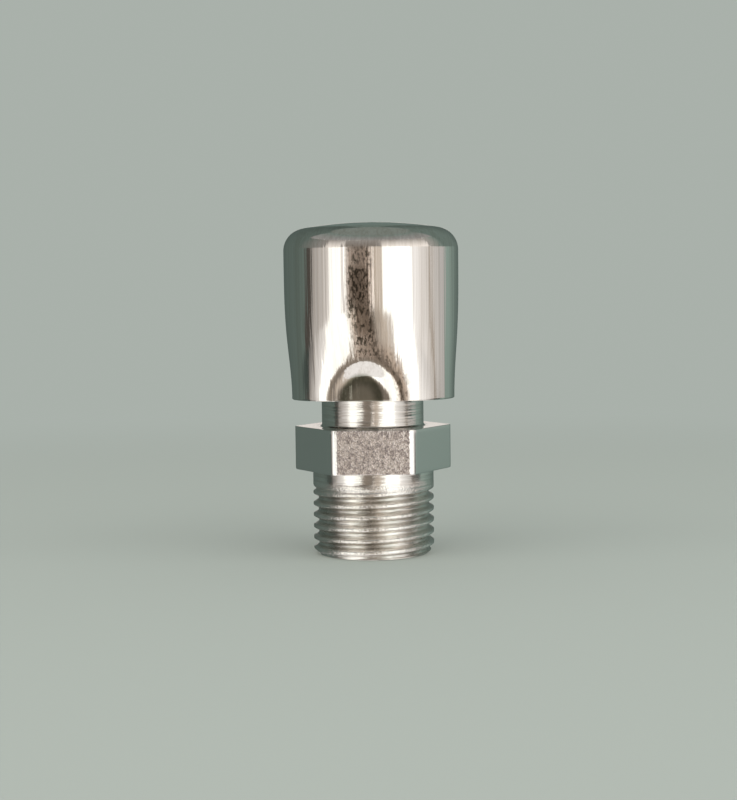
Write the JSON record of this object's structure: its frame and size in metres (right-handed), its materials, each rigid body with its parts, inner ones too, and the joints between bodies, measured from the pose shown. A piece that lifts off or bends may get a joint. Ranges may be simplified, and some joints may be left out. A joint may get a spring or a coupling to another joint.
{
  "type": "axle breather",
  "caption": "Plated steel axle breather: threaded hexagon plug under a domed pressed cap, crimped on and free to turn, with a loose ball valve inside.",
  "frame": {"origin": "centre of the flat thread end, on the long axis", "axes": "+Z along the axis from the thread end to the cap's crown, -Y towards the viewer of the picture, X across one pair of hexagon corners"},
  "size_m": [0.014, 0.014, 0.0266],
  "materials": {
    "plated_body": "bright plated, turned",
    "plated_cap": "bright plated, drawn sheet",
    "ball_steel": "polished"
  },
  "bodies": {
    "plug": {"body": "plated_body"},
    "cover": {"cap": "plated_cap"},
    "ball": {"valve_ball": "ball_steel"}
  },
  "joints": [
    {"name": "cap_turn", "type": "hinge", "parent": "plug", "child": "cover", "pos_m": [0, 0, 0.0125], "axis": [0, 0, 1], "continuous": true},
    {"name": "ball_lift", "type": "slide", "parent": "plug", "child": "ball", "axis": [0, 0, 1], "range_m": [0, 0.0015]}
  ]
}
